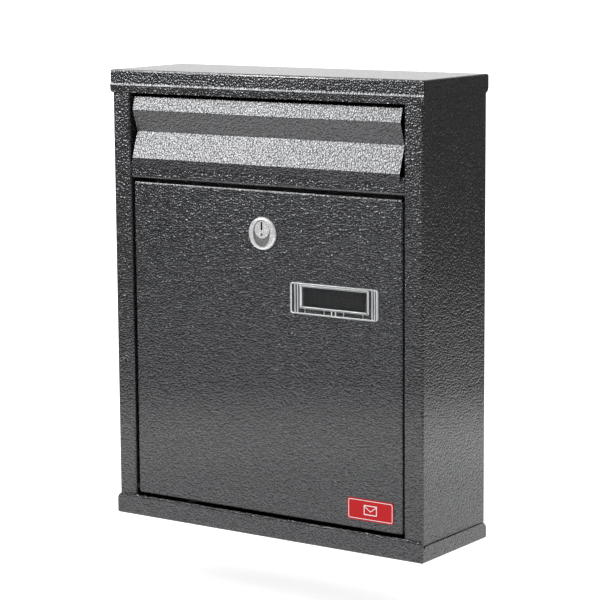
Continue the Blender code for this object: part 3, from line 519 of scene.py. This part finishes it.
def make_floor():
    """A wide white floor that glows as painted light: to the camera it glows to wash out its shadow, and in
    the gloss of the paint it is painted brighter and darker with distance.
    """
    bpy.ops.mesh.primitive_circle_add(vertices=96, radius=FLOOR_RADIUS, fill_type="NGON",
                                      location=(0, 0, FLOOR_Z))
    floor = bpy.context.object
    floor.name = "studio_floor"
    s = Shader("pale_glowing_floor")
    path = s.tree.nodes.new("ShaderNodeLightPath")
    distance = s.node("ShaderNodeVectorMath", {"operation": "LENGTH"}, Vector=s.coords).outputs["Value"]
    smooth = {"interpolation_type": "SMOOTHSTEP"}
    near = s.node("ShaderNodeMapRange", smooth, Value=distance, From_Min=FLOOR_NEAR_START,
                  From_Max=FLOOR_NEAR_END, To_Min=FLOOR_NEAR_LEVEL)
    far = s.node("ShaderNodeMapRange", smooth, Value=distance, From_Min=FLOOR_FAR_START,
                 From_Max=FLOOR_FAR_END, To_Min=1.0, To_Max=FLOOR_FAR_LEVEL)
    # painted reflection: a ring of floor brightness that only the gloss sees
    painted_gloss_ring = s.math("MULTIPLY", near.outputs["Result"], far.outputs["Result"])
    seen = s.blend(path.outputs["Is Glossy Ray"], (1.0, 1.0, 1.0), painted_gloss_ring)
    grain = s.blend(s.noise(3.0), (0.90, 0.90, 0.90), (0.93, 0.93, 0.93))
    mix = s.node("ShaderNodeVectorMath", {"operation": "MULTIPLY"})
    s.link(seen, mix.inputs[0])
    s.link(grain, mix.inputs[1])
    s.link(mix.outputs[0], s.bsdf.inputs["Base Color"])
    # painted light: the floor glows to the camera and in the gloss
    in_gloss = s.math("MULTIPLY", path.outputs["Is Glossy Ray"], FLOOR_GLOW_IN_GLOSS)
    to_camera = s.math("MULTIPLY", path.outputs["Is Camera Ray"], FLOOR_GLOW_TO_CAMERA)
    painted_floor_glow = s.math("ADD", to_camera, s.math("MULTIPLY", in_gloss, painted_gloss_ring))
    s.link(painted_floor_glow, s.bsdf.inputs["Emission Strength"])
    s.set(Roughness=0.9, Specular_IOR_Level=0.1, Emission_Color=(1.0, 1.0, 1.0, 1.0))
    floor.data.materials.append(s.mat)


def area_light(name, azimuth, low, high, distance, width, power):
    """A softbox that faces the object and lights only its gloss."""
    middle = direction(azimuth, 0) * distance + Vector((0, 0, (low + high) / 2))
    data = bpy.data.lights.new(name, "AREA")
    data.shape = "RECTANGLE"
    data.size, data.size_y = width, high - low
    data.energy = power
    light = bpy.data.objects.new(name, data)
    light.visible_diffuse = False
    bpy.context.collection.objects.link(light)
    facing = middle.to_track_quat("Z", "Y").to_matrix().to_4x4()
    light.matrix_world = Matrix.Translation(middle) @ facing


def make_world():
    """White for the camera and for diffuse light; the gloss sees a dim room with a few pale walls."""
    world = bpy.data.worlds.new("studio")
    bpy.context.scene.world = world
    world.use_nodes = True
    world.cycles.sampling_method = "NONE"
    tree = world.node_tree
    background = tree.nodes["Background"]
    background.inputs["Color"].default_value = (1, 1, 1, 1)
    coords = tree.nodes.new("ShaderNodeTexCoord")
    total = None
    for azimuth, elevation, inner, outer, level in WORLD_LOBES:
        dot = tree.nodes.new("ShaderNodeVectorMath")
        dot.operation = "DOT_PRODUCT"
        tree.links.new(coords.outputs["Generated"], dot.inputs[0])
        dot.inputs[1].default_value = direction(azimuth, elevation)
        ramp = tree.nodes.new("ShaderNodeMapRange")
        ramp.interpolation_type = "SMOOTHSTEP"
        ramp.inputs["From Min"].default_value = cos(radians(outer))
        ramp.inputs["From Max"].default_value = cos(radians(inner))
        ramp.inputs["To Max"].default_value = level
        tree.links.new(dot.outputs["Value"], ramp.inputs["Value"])
        if total is None:
            total = ramp.outputs["Result"]
        else:
            add = tree.nodes.new("ShaderNodeMath")
            tree.links.new(total, add.inputs[0])
            tree.links.new(ramp.outputs["Result"], add.inputs[1])
            total = add.outputs["Value"]
    base = tree.nodes.new("ShaderNodeMath")
    base.inputs[1].default_value = WORLD_DIM
    tree.links.new(total, base.inputs[0])
    path = tree.nodes.new("ShaderNodeLightPath")
    choose = tree.nodes.new("ShaderNodeMix")
    tree.links.new(path.outputs["Is Glossy Ray"], choose.inputs["Factor"])
    choose.inputs["A"].default_value = WORLD_WHITE
    tree.links.new(base.outputs["Value"], choose.inputs["B"])
    tree.links.new(choose.outputs["Result"], background.inputs["Strength"])


def make_studio():
    make_camera()
    make_floor()
    make_world()
    for light in LIGHTS:
        area_light(*light)
    bpy.context.scene.view_settings.view_transform = "Standard"


dress_nodes()
make_name_holder()
make_label_print()
make_studio()
